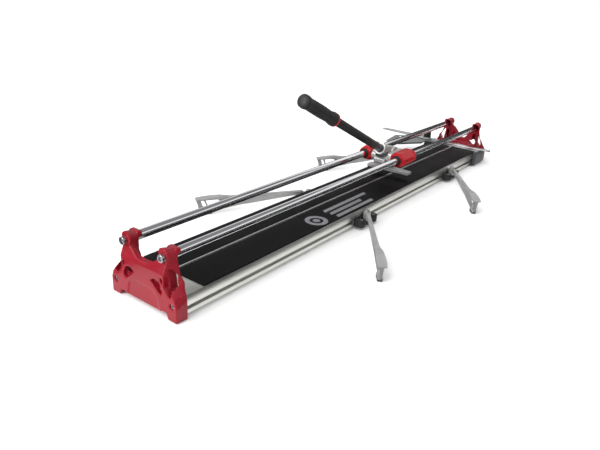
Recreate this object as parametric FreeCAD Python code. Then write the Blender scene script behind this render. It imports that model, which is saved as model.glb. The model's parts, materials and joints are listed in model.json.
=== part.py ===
# Manual tile cutter: a wide bed between two cast end supports, a carriage that slides on
# two round guide bars, four swivelling side arms and a fence that clamps on the bed.
# Millimetres. X runs along the bed from the front support to the rear one, Y to the left,
# Z up. The origin is on the floor, below the middle of the bed.
import FreeCAD
import Part
import os
from math import cos, sin, radians

V = FreeCAD.Vector

# ---- overall sizes ----
LENGTH = 1420.0          # outer face to outer face of the end supports
BED_W = 167.0            # width of the bed profile
BED_BOTTOM = 8.0         # underside of the bed above the floor
BED_H = 37.0             # height of the bed profile
BAR_D = 18.0             # guide bar diameter
BAR_SPACING = 102.0      # between the guide bar axes
BAR_Z = 113.0            # guide bar axis above the floor
CARRIAGE_X = 160.0       # handle pivot at rest

# ---- clearances ----
GAP = 0.5                # between pieces that move past each other
RUN = 0.05               # radial clearance of a shaft in its hole

# ---- bed ----
SKIN = 3.0               # wall of the profile
GROOVE_Z = 19.8          # centre of the side groove above the floor
GROOVE_MOUTH = 7.0
GROOVE_LIP = 3.0
GROOVE_W = 12.0
GROOVE_DEPTH = 8.0
RIB_T = 3.0              # breaker rib
RIB_UP = 4.6             # rib above the bed
RIB_SEAT = 10.0          # depth of the rib's slot in the bed
PAD_T = 3.0
PAD_GAP = 2.0            # between the rib and each pad
PAD_EDGE = 0.5           # pad edge inside the bed's edge
PAD_INSET = 69.0         # from a support's outer face to the pads

# ---- end supports ----
FOOT_T = 26.0            # thickness of a support at the bed's end
BOSS_T = 29.0            # thickness at the bar bosses
YOKE_T = 15.0            # thickness of the front wall
PLAQUE_T = 2.0           # badge plaque stands out from the front wall
SUPPORT_OVER = 5.0       # support reaches past the bed's side
HEAD_R = 12.0            # rounded tower head, front
BOSS_R = 13.0            # bar boss, rear
BAR_SEAT = 16.0          # length of bar inside a support
HOOD_L = 8.0             # hood over the bar's end
WEB_T = 8.0              # wall left in front of the hollows between the ribs
# top edge between the towers: inwards from the bar axis, below the bar axis
FRONT_SADDLE = ((12, 9), (19, 11.5), (27, 17), (37, 21.5))
REAR_SADDLE = ((12, 9), (21, 14), (28, 24), (35, 36), (43, 46))
BAR_BOLT_R = 4.0
BAR_BOLT_HEAD_R = 7.5
BAR_BOLT_HEAD_T = 8.0    # the tower head is set back by as much
SIDE_SCREW_R = 3.0
SIDE_SCREW_HEAD_R = 5.0
SIDE_SCREW_Z = 30.0      # above the floor
SIDE_SCREW_IN = 8.0      # from the bed's side to the screw
SOLE_H = 6.0             # rubber sole
SOLE_OUT = 1.0           # sole stands out below the casting

# ---- sliders and bridge ----
SLIDER_L = 86.0
SLIDER_X = -12.0         # middle of the sliders and bridge from the handle pivot
SLIDER_IN = 20.0         # from the bar axis to the flat inner side
SLIDER_OUT = 22.0        # from the bar axis to the outer side
SLIDER_UP = 20.0
SLIDER_END = 7.0         # facet at each end
BUSH_T = 2.5
BUSH_L = 30.0
BUSH_X = 22.0            # bush centre from the slider's middle
WIPER_T = 5.0
WIPER_W = 4.5            # radial width of a wiper
SET_SCREW_R = 3.5
BRIDGE_L = 80.0
CHEEK_GAP = 33.0         # between the bridge's cheeks
CHEEK_UP = 14.0          # cheek above the bar axis
CHEEK_DOWN = 15.0
TIE_L = 8.5              # tie between the cheeks, behind the handle's hub
NOSE_L = 20.0            # casting between the cheeks' front ends
NOSE_OUT = 7.0           # and in front of them
PIVOT_UP = 5.0           # handle pivot above the bar axis
PIVOT_R = 6.0
BRIDGE_BOLT_R = 3.0

# ---- handle ----
HANDLE_TILT = 25.4       # above the level, at rest
HANDLE_X = -63.0         # end of the socket from the carriage centre
HANDLE_UP = 27.0         # and above the bar axis
TUBE_R = 10.75
TUBE_WALL = 2.0
TUBE_L = 267.0           # from the socket to the grip
SOCKET_R = 15.0
SOCKET_L = 34.0
SOCKET_IN = 28.0         # tube inside the socket
GRIP_L = 140.0
GRIP_R = 14.3
GRIP_FLARE = 2.5
RING_T = 6.0
HUB_R = 17.0
HUB_W = 32.0
BREAKER_FWD = 5.9        # breaker pin behind the handle pivot, at rest
BREAKER_UP = 19.04       # and above the pads
BREAKER_PIN_R = 2.5
LUG_L = 12.0             # breaker lug along X
LUG_R = 5.0
FOOT_HALF = 11.0         # breaker foot, half its length along X
FOOT_REACH = 66.0        # breaker wings, from the middle
FOOT_DOWN = 8.0          # underside below the pin
FOOT_UP = 5.0
FOOT_PAD_T = 2.5
WHEEL_FWD = 33.42        # wheel axle behind the handle pivot, at rest
WHEEL_UP = 30.17         # and above the pads
WHEEL_R = 11.0
WHEEL_T = 2.2
AXLE_R = 2.5
HOLDER_R = 5.5
FORK_T = 2.2
HOLDER_BOSS_R = 10.0
HOLDER_OUT = 16.0        # from the end of the holder's boss to the wheel axle

# ---- side arms ----
ARM_X = (-106.0, -91.0, 404.0, 423.0)   # arm pivots, in the order of ARM_REST
ARM_OUT = 11.5           # pivot axis outside the bed
ARM_REST = (37.0, 31.4, 36.0, 31.4)   # front right, front left, rear right, rear left
ARM_LOW = 6.0            # arm's top edge below the pads
ARM_BUMP = 3.5           # rise of the arm's outer part
ARM_L = 302.0            # pivot to the tip
ARM_WEB = 6.0
ARM_FLANGE_T = 4.0
ARM_HUB_R = 9.0
ARM_HUB_LOW = 4.4        # hub's top below the arm's top edge
ARM_PIN_R = 5.0
ARM_PIN_HEAD_T = 3.0
ARM_FLOAT = 0.4          # arm's play along its pin
EAR_Z = (6.0, 15.0)
BRACKET_T = 2.5          # plate against the bed's side
LOBE_R = 11.0
LOBE_X = 27.0
LOBE_TOP = 24.0
ARM_SOLE_H = 3.0
ARM_SOLE_L = 24.0
ARM_SOLE_W = 11.0

# ---- fence ----
FENCE_X = 611.0          # front face of the fence
FENCE_W = 44.0           # along X
FENCE_T = 4.0
FENCE_TIP = 39.0         # past the bed's right side
CLAMP_X = 600.0
CLAMP_L = 78.0
CLAMP_T = 11.0
CLAMP_HOOK = 13.0
CLAMP_FLOOR = 3.0
MITRE_X = 636.0
MITRE_OUT = 21.5         # mitre pivot outside the bed
MITRE_BOSS_R = 15.0
MITRE_T = 5.0
STUD_R = 4.0
KNOB_R = 13.0
PLATE_T = 3.0
PLATE_SLOT_R = 98.0      # outer radius of the plate's slot, round the mitre pivot
LOCK_Z = 25.0
LOCK_R = 4.0

# ---- worked out from the sizes above ----
HALF = LENGTH / 2
SLIDER_MID = CARRIAGE_X + SLIDER_X
BED_HALF = HALF - FOOT_T
BED_TOP = BED_BOTTOM + BED_H
PAD_TOP = BED_TOP + PAD_T
RIB_TOP = BED_TOP + RIB_UP
ARM_TOP = PAD_TOP - ARM_LOW
ARM_HUB_TOP = ARM_TOP - ARM_HUB_LOW
ARM_HUB_BOTTOM = EAR_Z[1] + ARM_FLOAT
FENCE_BOTTOM = PAD_TOP + GAP
FENCE_TOP = FENCE_BOTTOM + FENCE_T
SIDE = BED_W / 2
BAR_Y = BAR_SPACING / 2
BAR_R = BAR_D / 2
BUSH_R = BAR_R + RUN
BUSH_OUT = BUSH_R + BUSH_T
PIVOT_Z = BAR_Z + PIVOT_UP
ARM_Y = SIDE + ARM_OUT
FEET_HALF = SIDE + SUPPORT_OVER
TILT = radians(HANDLE_TILT)
HANDLE_DIR = V(-cos(TILT), 0, sin(TILT))
HANDLE_BASE = V(CARRIAGE_X + HANDLE_X, 0, BAR_Z + HANDLE_UP)
HANDLE_TOP = V(HANDLE_DIR.z, 0, -HANDLE_DIR.x)   # across the handle, upwards
PIVOT = V(CARRIAGE_X, 0, PIVOT_Z)
BREAKER_PIN = V(CARRIAGE_X + BREAKER_FWD, 0, PAD_TOP + BREAKER_UP)
WHEEL_AXLE = V(CARRIAGE_X + WHEEL_FWD, 0, PAD_TOP + WHEEL_UP)
WHEEL_ARM = (WHEEL_AXLE - PIVOT).Length
WHEEL_DIR = (WHEEL_AXLE - PIVOT).normalize()
HOLDER_BOSS_END = WHEEL_ARM - HOLDER_OUT
HOLDER_START = PIVOT_R + 6
FORK_HALF = WHEEL_T / 2 + GAP / 2 + FORK_T


# ---- small tools ----
def box(x0, x1, y0, y1, z0, z1):
    return Part.makeBox(x1 - x0, y1 - y0, z1 - z0, V(x0, y0, z0))


def cyl(start, direction, r, length):
    return Part.makeCylinder(r, length, start, direction)


def ring(start, direction, r_in, r_out, length):
    return cyl(start, direction, r_out, length).cut(cyl(start, direction, r_in, length))


def wire(points):
    return Part.makePolygon([V(*p) for p in points] + [V(*points[0])])


def prism_x(points, x0, x1):
    """Prism of a (y, z) outline from x0 to x1."""
    face = Part.Face(wire([(x0, y, z) for y, z in points]))
    return face.extrude(V(x1 - x0, 0, 0))


def prism_y(points, y0, y1):
    """Prism of an (x, z) outline from y0 to y1."""
    face = Part.Face(wire([(x, y0, z) for x, z in points]))
    return face.extrude(V(0, y1 - y0, 0))


def prism_z(points, z0, z1):
    """Prism of an (x, y) outline from z0 to z1."""
    face = Part.Face(wire([(x, y, z0) for x, y in points]))
    return face.extrude(V(0, 0, z1 - z0))


def loft_x(points_a, xa, points_b, xb):
    """Solid between two (y, z) outlines with the same number of corners."""
    a = wire([(xa, y, z) for y, z in points_a])
    b = wire([(xb, y, z) for y, z in points_b])
    return Part.makeLoft([a, b], True, True)


def mirror_y(shape):
    return shape.mirror(V(0, 0, 0), V(0, 1, 0))


def mirror_x(shape):
    return shape.mirror(V(0, 0, 0), V(1, 0, 0))


def fuse(shapes):
    first = shapes[0]
    return first.fuse(shapes[1:]).removeSplitter() if len(shapes) > 1 else first


def group(shapes):
    """Separate solids that share one node."""
    return Part.makeCompound(shapes)


def save(name, shape):
    shape.exportStep("parts/" + name + ".step")


# ---- bed ----
def bed_profile():
    outer = box(-BED_HALF, BED_HALF, -SIDE, SIDE, BED_BOTTOM, BED_TOP)
    cuts = []
    groove_in = SIDE - GROOVE_LIP
    screw_wall = SIDE - GROOVE_DEPTH - SKIN
    cell_top = BED_TOP - SKIN
    cell_bottom = BED_BOTTOM + SKIN
    cell_edges = (RIB_T / 2 + SKIN, SIDE * 0.34, SIDE * 0.6, screw_wall)
    for side in (-1, 1):
        mouth = (groove_in, SIDE + 1, GROOVE_Z - GROOVE_MOUTH / 2, GROOVE_Z + GROOVE_MOUTH / 2)
        slot = (SIDE - GROOVE_DEPTH, groove_in + 0.01, GROOVE_Z - GROOVE_W / 2,
                GROOVE_Z + GROOVE_W / 2)
        for y0, y1, z0, z1 in (mouth, slot):
            lo, hi = sorted((side * y0, side * y1))
            cuts.append(box(-BED_HALF, BED_HALF, lo, hi, z0, z1))
        for inner, outer_y in zip(cell_edges[:-1], cell_edges[1:]):
            lo, hi = sorted((side * (inner + SKIN / 2), side * (outer_y - SKIN / 2)))
            cuts.append(box(-BED_HALF, BED_HALF, lo, hi, cell_bottom, cell_top))
        for end in (-1, 1):
            start = V(end * BED_HALF, side * (SIDE - SIDE_SCREW_IN), SIDE_SCREW_Z)
            cuts.append(cyl(start, V(-end, 0, 0), SIDE_SCREW_R, 30))
    cuts.append(box(-BED_HALF, BED_HALF, -RIB_T / 2, RIB_T / 2, BED_TOP - RIB_SEAT, BED_TOP))
    return outer.cut(cuts)


def breaker_rib():
    top = RIB_TOP
    low = BED_TOP - RIB_SEAT
    half = RIB_T / 2
    outline = [(-half, low), (half, low), (half, top - 0.8), (half - 0.8, top),
               (0.8 - half, top), (-half, top - 0.8)]
    return prism_x(outline, -BED_HALF, BED_HALF)


def pad(side):
    end = HALF - PAD_INSET
    inner = RIB_T / 2 + PAD_GAP
    outer = SIDE - PAD_EDGE
    lo, hi = sorted((side * inner, side * outer))
    body = box(-end, end, lo, hi, BED_TOP, PAD_TOP)
    top_edges = [e for e in body.Edges if e.BoundBox.ZMin > PAD_TOP - 0.01]
    return body.makeChamfer(PAD_T / 4, top_edges)


# ---- end supports ----
def front_outline(saddle):
    """Half outline of the front wall, from the middle of its belly round to the saddle."""
    f = FEET_HALF
    b = BAR_Y
    top_edge = [(b - inwards, BAR_Z - down) for inwards, down in saddle]
    return [(0, 8), (f * 0.46, 8), (f - 36, 12.5), (f - 26, 12.5), (f - 23, SOLE_OUT),
            (f - 0.5, SOLE_OUT), (f - 0.5, 30), (f - 5.5, 44), (f - 21, 63),
            (b + 6, BAR_Z - 29), (b + 5, BAR_Z - 16)] + top_edge + [(0, top_edge[-1][1] - 1)]


def leg(x0, x1):
    """One tower with its leg, widening from the front to the bed's end."""
    f = FEET_HALF
    b = BAR_Y
    z = BAR_Z
    front = [(b - 11, z + 4), (b - 12, z - 9), (b - 20, z - 28), (b - 12, 52), (f - 34, 30),
             (f - 23, SOLE_OUT), (f - 0.5, SOLE_OUT), (f - 0.5, 30), (f - 5.5, 44), (f - 21, 63),
             (b + 6, z - 29), (b + 5, z - 16), (b + 8, z + 4)]
    rear = [(b - 11, z + 4), (b - 14, z - 14), (b - 22, z - 28), (b - 20, 52), (f - 34, 30),
            (f - 23, SOLE_OUT), (f, SOLE_OUT), (f, 41), (f - 4, 54), (f - 9, 68),
            (b + 19, z - 34), (b + 13, z - 10), (b + 12, z + 4)]
    return loft_x(front, x0, rear, x1)


def head(x0, x1):
    """Rounded head of a tower, moving outwards from the front to the rear."""
    a = Part.Wire(Part.makeCircle(HEAD_R, V(x0, BAR_Y - 2, BAR_Z + 5), V(1, 0, 0)))
    b = Part.Wire(Part.makeCircle(BOSS_R, V(x1, BAR_Y, BAR_Z), V(1, 0, 0)))
    return Part.makeLoft([a, b], True, True)


def support_half(x_out, saddle):
    """Left half of the front support, x_out being its outer face."""
    f = FEET_HALF
    b = BAR_Y
    z = BAR_Z
    foot_x = x_out + FOOT_T
    boss_x = x_out + BOSS_T
    half = prism_x(front_outline(saddle), x_out, x_out + YOKE_T)
    block = box(x_out + YOKE_T - 1, foot_x, 0, f - 1, BED_BOTTOM, BED_TOP + 5)
    rear_leg = prism_x([(b - 12, z - 6), (b - 12, z - 37), (b - 4, BED_TOP + 4), (f - 8, BED_TOP + 4),
                        (f - 9, 68), (b + 19, z - 34), (b + 12, z - 6)], foot_x, boss_x)
    boss = cyl(V(foot_x, b, z), V(1, 0, 0), BOSS_R, BOSS_T - FOOT_T)
    hood = box(foot_x, boss_x + HOOD_L, b - BOSS_R + 1, b + BOSS_R - 1, z + 2, z + BOSS_R)
    hood = hood.cut(cyl(V(boss_x, b, z), V(1, 0, 0), BAR_R + 2, HOOD_L))
    body = fuse([half, leg(x_out, foot_x), head(x_out + BAR_BOLT_HEAD_T, foot_x), block, rear_leg,
                 boss, hood])
    return body.cut(front_slant(x_out))


def front_slant(x_out):
    """Room in front of the tower, which leans back to the bar bolt's seat."""
    seat = x_out + BAR_BOLT_HEAD_T
    return prism_y([(x_out - 1, BAR_Z - 29), (x_out, BAR_Z - 29), (seat, BAR_Z - 10),
                    (seat, BAR_Z + 40), (x_out - 1, BAR_Z + 40)], -1, FEET_HALF)


def support_pockets(x_out):
    """Blind pockets and windows of the left half of the front support."""
    f = FEET_HALF
    b = BAR_Y
    apron = [(-1, 5), (b - 6, 5), (b - 13, 38), (b - 28, 47), (-1, 47)]
    window = [(b + 9, 80), (b + 13, 82), (f - 19, 68), (f - 13, 55), (f - 18, 51), (b + 11, 62)]
    outer_pocket = [(b + 6, 80), (b + 8, 84), (f - 24, 66), (f - 12, 50), (f - 18, 44), (b + 6, 60)]
    inner_pocket = [(b - 29, 63), (b - 18, 69), (b - 6, 66), (b + 1, 52), (b - 1, 43), (b - 7, 44)]
    small_pocket = [(b - 3, 78), (b + 3, 74), (b + 2, 64), (b - 2, 68)]
    outer_hollow = [(b + 6, 92), (b + 11, 92), (f - 19, 76), (f - 14, 66), (f - 13.5, 52), (b + 11, 52)]
    inner_hollow = [(b - 5, 90), (b + 1, 92), (b + 4, 62), (b + 2, 52), (b - 13, 52), (b - 9, 75)]
    inner_window = [(b - 24, 62.5), (b - 17, 66), (b - 7, 64), (b - 1, 54), (b - 3, 51), (b - 14, 51)]
    return [prism_x(window, x_out - 1, x_out + BOSS_T + 1),
            prism_x(outer_pocket, x_out - 1, x_out + 12),
            prism_x(inner_pocket, x_out - 1, x_out + 9),
            prism_x(small_pocket, x_out - 1, x_out + 6),
            prism_x(apron, x_out - 1, x_out + PLAQUE_T),
            prism_x(inner_window, x_out - 1, x_out + BOSS_T + 1),
            prism_x(outer_hollow, x_out + WEB_T, x_out + BOSS_T + 1),
            prism_x(inner_hollow, x_out + WEB_T, x_out + BOSS_T + 1)]


def end_support(saddle):
    """Support for the front end; the one for the rear end is mirrored afterwards."""
    x_out = -HALF
    halves = []
    cuts = []
    for turn in (lambda s: s, mirror_y):
        halves.append(turn(support_half(x_out, saddle)))
        cuts.extend(turn(c) for c in support_pockets(x_out))
    body = fuse(halves)
    for side in (-1, 1):
        axis = V(x_out + BOSS_T - BAR_SEAT, side * BAR_Y, BAR_Z)
        cuts.append(cyl(axis, V(1, 0, 0), BAR_R, BAR_SEAT + 1))
        cuts.append(cyl(V(x_out - 1, side * BAR_Y, BAR_Z), V(1, 0, 0), BAR_BOLT_R, BOSS_T))
        screw_y = side * (SIDE - SIDE_SCREW_IN)
        cuts.append(cyl(V(x_out - 1, screw_y, SIDE_SCREW_Z), V(1, 0, 0), SIDE_SCREW_R, BOSS_T))
        cuts.append(cyl(V(x_out - 1, screw_y, SIDE_SCREW_Z), V(1, 0, 0), SIDE_SCREW_HEAD_R + GAP, 9))
        cuts.append(sole(x_out, side))
    return body.cut(cuts)


def sole(x_out, side):
    """Rubber sole pressed into a foot of the support."""
    y = side * (FEET_HALF - 8.5)
    return box(x_out + 4, x_out + FOOT_T - 4, y - 5.5, y + 5.5, 0, SOLE_H)


def both_ends(shapes):
    return group(list(shapes) + [mirror_x(s) for s in shapes])


def support_soles():
    return both_ends([sole(-HALF, side) for side in (-1, 1)])


def bar_bolts():
    shapes = []
    for side in (-1, 1):
        seat = V(-HALF + BAR_BOLT_HEAD_T, side * BAR_Y, BAR_Z)
        head_part = cyl(seat, V(-1, 0, 0), BAR_BOLT_HEAD_R, BAR_BOLT_HEAD_T)
        rim = [e for e in head_part.Edges if e.BoundBox.XMax < -HALF + 0.1]
        head_part = head_part.makeFillet(1.2, rim)
        socket = hexagon(V(-HALF + 4, seat.y, seat.z), 4.0, -5)
        shank = cyl(seat, V(1, 0, 0), BAR_BOLT_R, BOSS_T - BAR_BOLT_HEAD_T)
        shapes.append(head_part.fuse(shank).cut(socket))
    return both_ends(shapes)


def hexagon(centre, across_half, length):
    """Hexagonal prism along X."""
    r = across_half / cos(radians(30))
    points = [(centre.y + r * cos(radians(a)), centre.z + r * sin(radians(a)))
              for a in range(0, 360, 60)]
    return prism_x(points, centre.x, centre.x + length)


def side_screws():
    shapes = []
    for side in (-1, 1):
        seat = V(-HALF + 8, side * (SIDE - SIDE_SCREW_IN), SIDE_SCREW_Z)
        head_part = cyl(seat, V(-1, 0, 0), SIDE_SCREW_HEAD_R, 5)
        shank = cyl(seat, V(1, 0, 0), SIDE_SCREW_R, FOOT_T - 8 + 25)
        socket = hexagon(seat + V(-2, 0, 0), 2.5, -3.5)
        shapes.append(head_part.fuse(shank).cut(socket))
    return both_ends(shapes)


def guide_bar(side):
    end = HALF - BOSS_T + BAR_SEAT
    bar = cyl(V(-end, side * BAR_Y, BAR_Z), V(1, 0, 0), BAR_R, 2 * end)
    for direction in (-1, 1):
        hole = cyl(V(direction * end, side * BAR_Y, BAR_Z), V(-direction, 0, 0), BAR_BOLT_R, BAR_SEAT)
        bar = bar.cut(hole)
    return bar


# ---- carriage ----
def slider(side):
    """Housing round one guide bar; its inner side is flat, the others are faceted."""
    i = BAR_Y - SLIDER_IN
    o = BAR_Y + SLIDER_OUT
    top = BAR_Z + SLIDER_UP
    low = BAR_Z - SLIDER_UP
    outline = [(i, low + 7), (i + 7, low), (o - 13, low), (o, low + 13), (o, top - 15),
               (o - 15, top), (i + 7, top), (i, top - 7)]
    x0 = SLIDER_MID - SLIDER_L / 2
    x1 = SLIDER_MID + SLIDER_L / 2
    c = SLIDER_END
    side_view = [(x0, low + c), (x0 + c, low), (x1 - c, low), (x1, low + c), (x1, top - c),
                 (x1 - c, top), (x0 + c, top), (x0, top - c)]
    plan = [(x0, i), (x0, o - c - 4), (x0 + c, o), (x1 - c, o), (x1, o - c - 4), (x1, i)]
    body = prism_x(outline, x0, x1).common(prism_y(side_view, i, o))
    body = body.common(prism_z(plan, low, top))
    axis = V(x0 - 1, BAR_Y, BAR_Z)
    body = body.cut(cyl(axis, V(1, 0, 0), BUSH_OUT, SLIDER_L + 2))
    for start in (x0, x1 - WIPER_T):
        body = body.cut(cyl(V(start, BAR_Y, BAR_Z), V(1, 0, 0), BUSH_R + WIPER_W, WIPER_T))
    for x in (-BUSH_X, BUSH_X):
        start = V(SLIDER_MID + x, BAR_Y + BUSH_OUT - 1, BAR_Z)
        body = body.cut(cyl(start, V(0, 1, 0), SET_SCREW_R, SLIDER_OUT))
    for bolt in bridge_bolts(1):
        body = body.cut(bolt)
    return body if side > 0 else mirror_y(body)


def slider_bushes():
    shapes = []
    for side in (-1, 1):
        for x in (-BUSH_X, BUSH_X):
            start = V(SLIDER_MID + x - BUSH_L / 2, side * BAR_Y, BAR_Z)
            shapes.append(ring(start, V(1, 0, 0), BUSH_R, BUSH_OUT, BUSH_L))
    return group(shapes)


def bar_wipers():
    shapes = []
    for side in (-1, 1):
        for x in (-SLIDER_L / 2, SLIDER_L / 2 - WIPER_T):
            start = V(SLIDER_MID + x, side * BAR_Y, BAR_Z)
            shapes.append(ring(start, V(1, 0, 0), BUSH_R, BUSH_R + WIPER_W, WIPER_T))
    return group(shapes)


def slider_set_screws():
    shapes = []
    for side in (-1, 1):
        for x in (-BUSH_X, BUSH_X):
            bush = cyl(V(SLIDER_MID - SLIDER_L, side * BAR_Y, BAR_Z), V(1, 0, 0), BUSH_OUT,
                       2 * SLIDER_L)
            start = V(SLIDER_MID + x, side * (BAR_Y + BUSH_R), BAR_Z)
            length = SLIDER_OUT - BUSH_R - 2
            screw = cyl(start, V(0, side, 0), SET_SCREW_R, length).cut(bush)
            slot = box(start.x - 0.6, start.x + 0.6, *sorted((side * (BAR_Y + SLIDER_OUT - 3.5),
                       side * (BAR_Y + SLIDER_OUT))), BAR_Z - 3, BAR_Z + 3)
            shapes.append(screw.cut(slot))
    return group(shapes)


def bridge_bolts(side):
    """Bolts that hold one cheek of the bridge to its slider."""
    shapes = []
    for x in (-BRIDGE_L / 2 + 8, BRIDGE_L / 2 - 8):
        for z in (BAR_Z - CHEEK_DOWN + 6, BAR_Z + CHEEK_UP - 6):
            start = V(SLIDER_MID + x, side * (CHEEK_GAP / 2 + 1), z)
            head_part = cyl(start, V(0, side, 0), 5.0, 4.5)
            shank = cyl(start, V(0, side, 0), BRIDGE_BOLT_R, BAR_Y - SLIDER_IN - CHEEK_GAP / 2 + 5)
            shapes.append(head_part.fuse(shank))
    return shapes


def carriage_bridge():
    x0 = SLIDER_MID - BRIDGE_L / 2
    x1 = SLIDER_MID + BRIDGE_L / 2
    low = BAR_Z - CHEEK_DOWN
    top = BAR_Z + CHEEK_UP
    cheek_outline = [(x0, low + 8), (x0 + 10, low), (x1 - 10, low), (x1, low + 8), (x1, top - 4),
                     (x1 - 4, top), (x0 + 10, top), (x0, top - 10)]
    parts = []
    for side in (-1, 1):
        y0, y1 = sorted((side * CHEEK_GAP / 2, side * (BAR_Y - SLIDER_IN)))
        cheek = prism_y(cheek_outline, y0, y1)
        parts.append(cheek)
    inside = CHEEK_GAP / 2 + 1
    tie = box(x1 - TIE_L, x1, -inside, inside, PIVOT_Z, top - 4)
    nose_x = x0 - NOSE_OUT
    nose_top = BAR_Z - 1
    nose = prism_y([(nose_x, low), (nose_x + 4, low - 4), (nose_x + NOSE_L, low - 4),
                    (nose_x + NOSE_L, nose_top - 4), (nose_x + 5, nose_top),
                    (nose_x, nose_top - 4)], -inside, inside)
    body = fuse(parts + [tie, nose])
    body = body.cut(cyl(V(CARRIAGE_X, -BAR_Y, PIVOT_Z), V(0, 1, 0), PIVOT_R, BAR_SPACING))
    for side in (-1, 1):
        for bolt in bridge_bolts(side):
            body = body.cut(bolt)
        for bolt_x in (-BRIDGE_L / 2 + 8, BRIDGE_L / 2 - 8):
            for z in (low + 6, top - 6):
                start = V(SLIDER_MID + bolt_x, side * (CHEEK_GAP / 2 - 2), z)
                body = body.cut(cyl(start, V(0, side, 0), 5.0, 4))
    return body


def handle_pivot_pin():
    reach = BAR_Y - SLIDER_IN
    return cyl(V(CARRIAGE_X, -reach, PIVOT_Z), V(0, 1, 0), PIVOT_R, 2 * reach)


# ---- handle ----
def handle_head():
    hub = cyl(PIVOT + V(0, -HUB_W / 2, 0), V(0, 1, 0), HUB_R, HUB_W)
    socket_start = HANDLE_BASE - HANDLE_DIR * SOCKET_L
    socket = cyl(socket_start, HANDLE_DIR, SOCKET_R, SOCKET_L)
    collar = cyl(HANDLE_BASE - HANDLE_DIR * 7, HANDLE_DIR, SOCKET_R + 2, 7)
    neck_end = socket_start + HANDLE_DIR * 8
    root = [PIVOT + HANDLE_TOP * HUB_R * 0.9, PIVOT - HANDLE_TOP * HUB_R * 0.9,
            neck_end - HANDLE_TOP * (SOCKET_R - 1), neck_end + HANDLE_TOP * (SOCKET_R - 1)]
    neck = prism_y([(p.x, p.z) for p in root], -11, 11)
    pin = BREAKER_PIN
    lug_half = LUG_L / 2
    lug_top = pin.z + FOOT_UP + 3
    lug_outline = [(pin.x - lug_half, pin.z), (pin.x + lug_half, pin.z),
                   (pin.x + lug_half, lug_top), (PIVOT.x + 12, PIVOT.z - 8),
                   (PIVOT.x - 12, PIVOT.z - 8), (pin.x - lug_half, lug_top)]
    lug_arm = prism_y(lug_outline, -LUG_R, LUG_R)
    lug = cyl(pin - V(lug_half, 0, 0), V(1, 0, 0), LUG_R, LUG_L)
    boss = cyl(PIVOT, WHEEL_DIR, HOLDER_BOSS_R, HOLDER_BOSS_END)
    body = fuse([hub, socket, collar, neck, lug_arm, lug, boss])
    body = body.cut(cyl(PIVOT + V(0, -HUB_W, 0), V(0, 1, 0), PIVOT_R + RUN, 2 * HUB_W))
    body = body.cut(cyl(HANDLE_BASE - HANDLE_DIR * SOCKET_IN, HANDLE_DIR, TUBE_R, SOCKET_L))
    body = body.cut(cyl(pin - V(LUG_L, 0, 0), V(1, 0, 0), BREAKER_PIN_R + RUN, 2 * LUG_L))
    body = body.cut(cyl(PIVOT + WHEEL_DIR * HOLDER_START, WHEEL_DIR, HOLDER_R, WHEEL_ARM))
    body = body.cut([holder_screw(), handle_lock_screw()])
    return body


def wheel_holder():
    d = WHEEL_DIR
    rod = cyl(PIVOT + d * HOLDER_START, d, HOLDER_R, HOLDER_BOSS_END + 3 - HOLDER_START)
    across = V(-d.z, 0, d.x)
    near = HOLDER_BOSS_END + 1
    far = WHEEL_ARM + 4
    corners = [PIVOT + d * near + across * 6, PIVOT + d * near - across * 6,
               PIVOT + d * far - across * 4, PIVOT + d * far + across * 4]
    half = FORK_HALF
    block = prism_y([(p.x, p.z) for p in corners], -half, half)
    wheel_room = cyl(WHEEL_AXLE + V(0, -half, 0), V(0, 1, 0), WHEEL_R + 1, 2 * half)
    slot = wheel_room.common(box(-HALF, HALF, -half + FORK_T, half - FORK_T, 0, 2 * BAR_Z))
    body = rod.fuse(block).cut(slot)
    body = body.cut(cyl(WHEEL_AXLE + V(0, -20, 0), V(0, 1, 0), AXLE_R, 40))
    return body.cut(holder_screw())


def holder_screw():
    """Cross screw that locks the wheel holder in the head."""
    at = PIVOT + WHEEL_DIR * (HOLDER_BOSS_END - 8)
    return cyl(at + V(0, -HOLDER_BOSS_R - 1, 0), V(0, 1, 0), 2.5, HOLDER_BOSS_R * 2)


def wheel_axle():
    return cyl(WHEEL_AXLE + V(0, -FORK_HALF, 0), V(0, 1, 0), AXLE_R, 2 * FORK_HALF)


def scoring_wheel():
    """Disc with a bevelled cutting edge."""
    t = WHEEL_T / 2
    points = [(AXLE_R + RUN, -t), (WHEEL_R - 1.6, -t), (WHEEL_R, -0.1), (WHEEL_R, 0.1),
              (WHEEL_R - 1.6, t), (AXLE_R + RUN, t)]
    outline = wire([(WHEEL_AXLE.x + r, y, WHEEL_AXLE.z) for r, y in points])
    return Part.Face(outline).revolve(WHEEL_AXLE, V(0, 1, 0), 360)


def handle_lock_screw():
    """Screw that holds the tube in its socket, from above."""
    at = HANDLE_BASE - HANDLE_DIR * SOCKET_L / 2 + HANDLE_TOP * (TUBE_R - TUBE_WALL)
    return cyl(at, HANDLE_TOP, 3.0, SOCKET_R - TUBE_R + TUBE_WALL + 1.5)


def handle_tube():
    start = HANDLE_BASE - HANDLE_DIR * SOCKET_IN
    length = SOCKET_IN + TUBE_L + GRIP_L - 25
    tube = ring(start, HANDLE_DIR, TUBE_R - TUBE_WALL, TUBE_R, length)
    return tube.cut(handle_lock_screw())


def revolve_on_handle(points):
    """Solid of revolution round the handle axis; points are (along, radius)."""
    corners = [HANDLE_BASE + HANDLE_DIR * s + HANDLE_TOP * r for s, r in points]
    face = Part.Face(Part.makePolygon(corners + [corners[0]]))
    return face.revolve(HANDLE_BASE, HANDLE_DIR, 360)


def grip_ring():
    s = TUBE_L
    r = GRIP_R + GRIP_FLARE
    return revolve_on_handle([(s - RING_T, TUBE_R), (s - RING_T, r - 1), (s - RING_T + 1, r),
                              (s, r), (s, TUBE_R)])


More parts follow.
